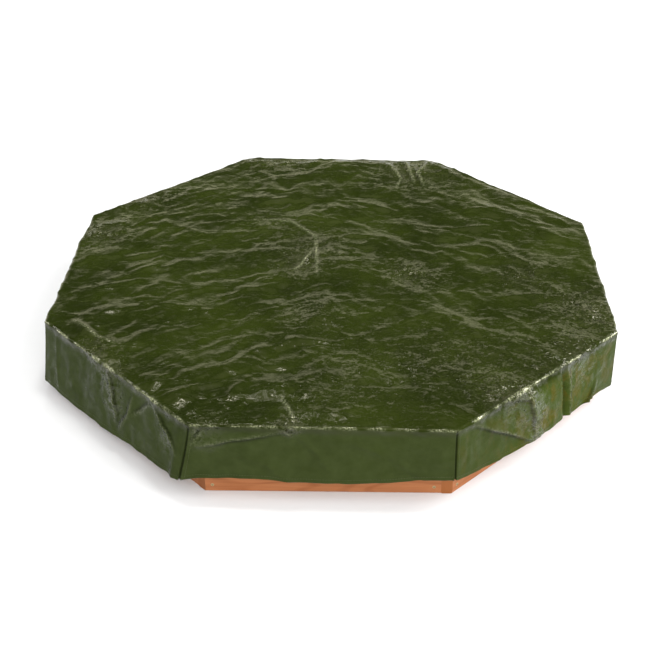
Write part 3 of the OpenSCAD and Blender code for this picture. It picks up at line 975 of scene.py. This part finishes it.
class Liner:
    """Fleece laid on the ground, cut round the posts and turned up against the walls."""

    def __init__(self):
        self.verts, self.flat, self.faces = [], [], []
        self.ripple, self.wave = Noise(71), Noise(72)
        columns = [c for side in range(SIDES) for c in self.side_columns(side)]
        center = self.vertex(np.zeros(2), 1.2 * MM, np.zeros(2))
        made = [self.column(*c) for c in columns]
        for (a, a_up), (b, b_up) in zip(made, made[1:] + made[:1]):
            self.faces.append((center, a[0], b[0]))
            self.faces += strip(a, b)
            if a_up and b_up:
                self.faces += strip(a_up, b_up)

    def side_columns(self, side):
        """Where each column of vertices meets the liner's outline, and whether it turns up there."""
        n, t = side_axes(side)
        inner = wall_in - POST_DEPTH - LINER_GAP
        out = wall_in - LINER_T * 0.85
        along = np.linspace(-strip_half, strip_half, 33)
        corner, next_n, next_t = n * inner + t * strip_half, *side_axes(side + 1)
        across = next_n * inner - next_t * strip_half
        yield from ((n * out + t * s, n, True) for s in along)
        yield from ((corner + (across - corner) * f, n, False) for f in np.linspace(0, 1, 7))

    def vertex(self, place, z, flat):
        self.verts.append((*place, z))
        self.flat.append(flat)
        return len(self.verts) - 1

    def column(self, end, normal, turns_up):
        reach = np.hypot(*end)
        share = (np.arange(LINER_RINGS) + 1) / LINER_RINGS
        x, y = end[0] * share, end[1] * share
        waves = 2.6 * np.abs(self.wave(x * 5.5, y * 7.5)) + 1.0 * np.abs(self.ripple(x * 17, y * 14))
        z = (0.6 + waves * (1 - smooth(share, 0.86, 0.97))) * MM
        floor = [self.vertex(np.array([a, b]), c, np.array([a, b])) for a, b, c in zip(x, y, z)]
        if not turns_up:
            return floor, None
        slack = 0.35 * MM * sin(end @ (1, 2.3) * 60)
        rim = liner_high / MM
        profile = [(0, 1.5), (-0.3, 4), (0, 12), (0.2, 20), (0, rim - 0.6), (0.5, rim), (1.0, rim - 1)]
        up = [floor[-1]]
        for out, high in profile:
            place = end + normal * (out * MM * 0.8 - max(slack, 0) * (4 < high < 20))
            up.append(self.vertex(place, high * MM, end + normal * high * MM))
        return floor, up


liner = Liner()
fleece = new_mesh("fleece_liner", liner.verts, liner.faces, fleece_material())
set_uv(fleece.data, "pattern", np.array(liner.flat))

hem = new_mesh("cover_hem", *hem_band(cover), tarp)
sewn = thread("sewing_thread", srgb(78, 86, 52))
seam_lines = [hem_path(cover, 2), *seam_paths(cover)]
sewing = new_mesh("cover_stitches", *stitches(seam_lines, 6.2 * MM, 4.4 * MM, 0.9 * MM), sewn)

# ---- timber, screws and staples

STAINED = srgb(174, 112, 70), srgb(140, 82, 45), srgb(146, 86, 40)  # light, dark and cut end
PLANED = srgb(198, 148, 104), srgb(170, 116, 74), srgb(150, 102, 64)
fir = [timber(f"stained_fir_{k}", k * TURN, STAINED, 0.5) for k in range(SIDES // 2)]
upright = timber("planed_fir_upright", 0, PLANED, 0.6, True)
radial = [timber(f"planed_fir_{k}", k * TURN + HALF, PLANED, 0.6) for k in range(SIDES // 2)]
zinc = metal("yellow_zinc", srgb(205, 190, 150), srgb(150, 132, 84), 0.32)
wire = metal("galvanised_wire", srgb(190, 192, 196), srgb(130, 132, 136), 0.35)


def paint(node, material):
    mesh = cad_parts[node].data
    mesh.materials.clear()
    mesh.materials.append(material)


for k in range(1, SIDES + 1):
    for node in ("plank_lower", "plank_upper", "seat_board"):
        paint(f"{node}_{k}", fir[(k - 1) % len(fir)])
    paint(f"corner_post_{k}", upright)
    paint(f"seat_bracket_{k}", radial[(k - 3) % len(radial)])
for node in ("wall_screws", "bracket_screws", "seat_screws"):
    paint(node, zinc)
paint("liner_staples", wire)

# ---- riding, and hiding the CAD cover and liner

COVER_NODES = ["cover_top"] + [f"cover_skirt_{k}" for k in range(1, SIDES + 1)]
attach(cover_sheet, "cover")
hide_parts(*COVER_NODES)
for piece in (hem, sewing):
    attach(piece, "cover")

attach(fleece, "frame")
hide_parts("ground_liner")


# ---- floor, light and camera

AIM = Vector((0, 0, 0.2))  # what the area lights point at


def new_light(name, kind, power, facing, axis):
    data = bpy.data.lights.new(name, kind)
    data.energy = power
    lamp = new_object(name, data)
    lamp.rotation_euler = Vector(facing).to_track_quat(axis, "Y").to_euler()
    return lamp


def area_light(name, size, power, place):
    lamp = new_light(name, "AREA", power, AIM - Vector(place), "-Z")
    lamp.location = place
    lamp.data.shape = "RECTANGLE"
    lamp.data.size, lamp.data.size_y = size


def sun_light(name, strength, spread, direction):
    """A broad even light from `direction`, without a reflection of its own."""
    lamp = new_light(name, "SUN", strength, direction, "Z")
    lamp.data.angle = radians(spread)
    lamp.visible_glossy = False


def make_floor():
    n = Look("studio_floor")
    grain = n.noise(n.place(), 30, 3)
    n.set(Base_Color=n.mix(grain, (0.80, 0.80, 0.80, 1), (0.82, 0.82, 0.82, 1)))
    n.set(Roughness=0.9, Specular_IOR_Level=0.0, Emission_Color=(1, 1, 1, 1), Emission_Strength=0.06)
    half = 60
    corners = [(half * i, half * j, 0) for i, j in ((-1, -1), (1, -1), (1, 1), (-1, 1))]
    floor = new_mesh("studio_floor", corners, [(0, 1, 2, 3)], n.material, False)
    floor.location.z = -0.4 * MM


def make_world():
    """A studio dome: a lit backdrop low behind, dark above it, a bright ceiling. The camera sees it white."""
    world = bpy.data.worlds.new("studio")
    bpy.context.scene.world = world
    world.use_nodes = True
    n = Nodes(world.node_tree)
    n.tree.nodes.clear()
    axes = n.axes(n.add("ShaderNodeTexCoord").outputs["Generated"])
    bright = [(0.79, 0.6), (1.0, 1.0)]
    behind = [(0.0, 1.1), (0.17, 0.95), (0.33, 0.50), (0.46, 0.15), (0.55, 0.05), (0.68, 0.05), *bright]
    around = [(0.0, 0.16), (0.30, 0.10), (0.55, 0.06), (0.68, 0.08), *bright]
    where = n.ramp(axes["Y"], [(0.0, 0.0), (0.45, 1.0)])
    dome = n.mix(where, n.ramp(axes["Z"], around), n.ramp(axes["Z"], behind))
    rays = n.add("ShaderNodeLightPath").outputs
    dome = n.mix(rays["Is Glossy Ray"], dome, (1.0, 0.96, 0.66, 1.0), "MULTIPLY")
    seen = n.mix(rays["Is Camera Ray"], dome, (1, 1, 1, 1))
    back = n.add("ShaderNodeBackground", {0: seen}).outputs[0]
    n.add("ShaderNodeOutputWorld", {0: back})


def make_camera():
    corner_r = cover_apothem / cos(HALF)
    yaw, pitch = radians(0.95), radians(32.33)
    back, side, up = 3.577 * corner_r, -0.011 * corner_r, 2.275 * corner_r
    data = bpy.data.cameras.new("camera")
    data.sensor_width, data.lens = 36.0, 63.65
    camera = new_object("camera", data)
    c, s = cos(yaw), sin(yaw)
    camera.location = (c * side + s * back, s * side - c * back, up)
    camera.rotation_euler = (pi / 2 - pitch, 0, yaw)
    bpy.context.scene.camera = camera


make_floor()
make_world()
make_camera()
area_light("top", (0.5, 0.25), 26, (0, -0.2, 3.2))
area_light("left", (0.14, 1.6), 14, (-2.9, 0.4, 1.6))
area_light("right", (0.14, 1.6), 58, (2.9, 0.4, 1.6))
area_light("high_back", (0.25, 0.25), 7, (-0.6, 1.0, 3.1))
sun_light("key", 1.8, 40, (0.75, -0.22, 0.55))
sun_light("fill", 2.5, 50, (0.14, -0.9, 0.5))
bpy.context.scene.view_settings.view_transform = "Standard"
